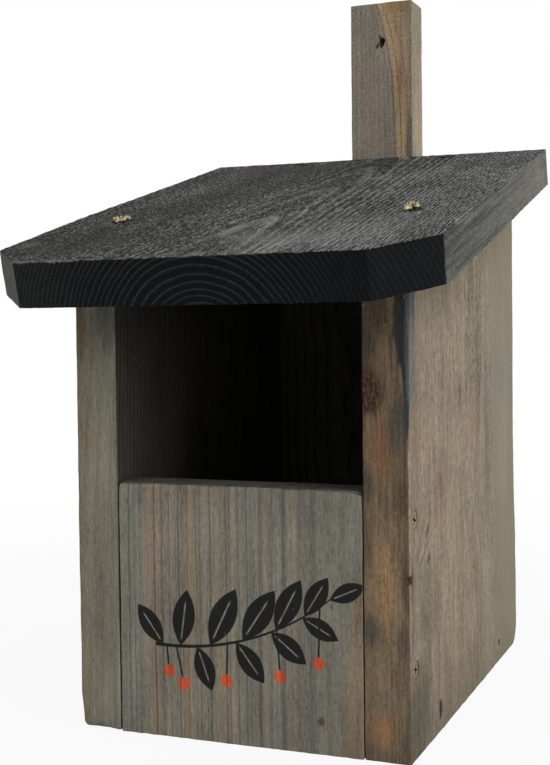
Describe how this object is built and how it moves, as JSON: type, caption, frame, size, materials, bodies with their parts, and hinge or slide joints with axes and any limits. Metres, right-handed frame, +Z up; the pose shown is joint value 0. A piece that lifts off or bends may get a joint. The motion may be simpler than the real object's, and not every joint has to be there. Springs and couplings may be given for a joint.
{
  "type": "open-fronted nest box",
  "caption": "Open-fronted wooden nest box with a low front panel, a sloping roof with clipped front corners, and an upright rear batten with a hanging hole near its top.",
  "frame": {"origin": "centre of the bounding box in plan, on the bottom edges of the boards", "axes": "+Z up; the open front faces -Y and the hanging batten's wall side faces +Y; +X to the right of a person who faces the back of the box from the front"},
  "size_m": [0.197, 0.2864, 0.361],
  "materials": {
    "left_side_pine": "rough-sawn softwood, weathered grey-brown",
    "right_side_pine": "rough-sawn softwood, weathered grey-brown",
    "front_panel_pine": "rough-sawn softwood, weathered grey-brown",
    "back_panel_pine": "rough-sawn softwood, weathered grey-brown",
    "floor_board_pine": "rough-sawn softwood, weathered grey-brown",
    "roof_board_pine": "rough-sawn softwood, weathered charcoal grey",
    "hanging_batten_pine": "rough-sawn softwood, weathered grey-brown",
    "yellow_zinc_steel": "yellow zinc plating, dulled"
  },
  "bodies": {
    "root": {"left_side_panel": "left_side_pine", "right_side_panel": "right_side_pine", "front_panel": "front_panel_pine", "back_panel": "back_panel_pine", "floor_board": "floor_board_pine", "roof_board": "roof_board_pine", "hanging_batten": "hanging_batten_pine", "roof_screw_front_left": "yellow_zinc_steel", "roof_screw_rear_left": "yellow_zinc_steel", "front_panel_screw_lower_left": "yellow_zinc_steel", "front_panel_screw_upper_left": "yellow_zinc_steel", "floor_screw_front_left": "yellow_zinc_steel", "floor_screw_rear_left": "yellow_zinc_steel", "back_panel_screw_left": "yellow_zinc_steel", "roof_screw_front_right": "yellow_zinc_steel", "roof_screw_rear_right": "yellow_zinc_steel", "front_panel_screw_lower_right": "yellow_zinc_steel", "front_panel_screw_upper_right": "yellow_zinc_steel", "floor_screw_front_right": "yellow_zinc_steel", "floor_screw_rear_right": "yellow_zinc_steel", "back_panel_screw_right": "yellow_zinc_steel", "batten_screw_lower": "yellow_zinc_steel", "batten_screw_upper": "yellow_zinc_steel"}
  },
  "joints": []
}
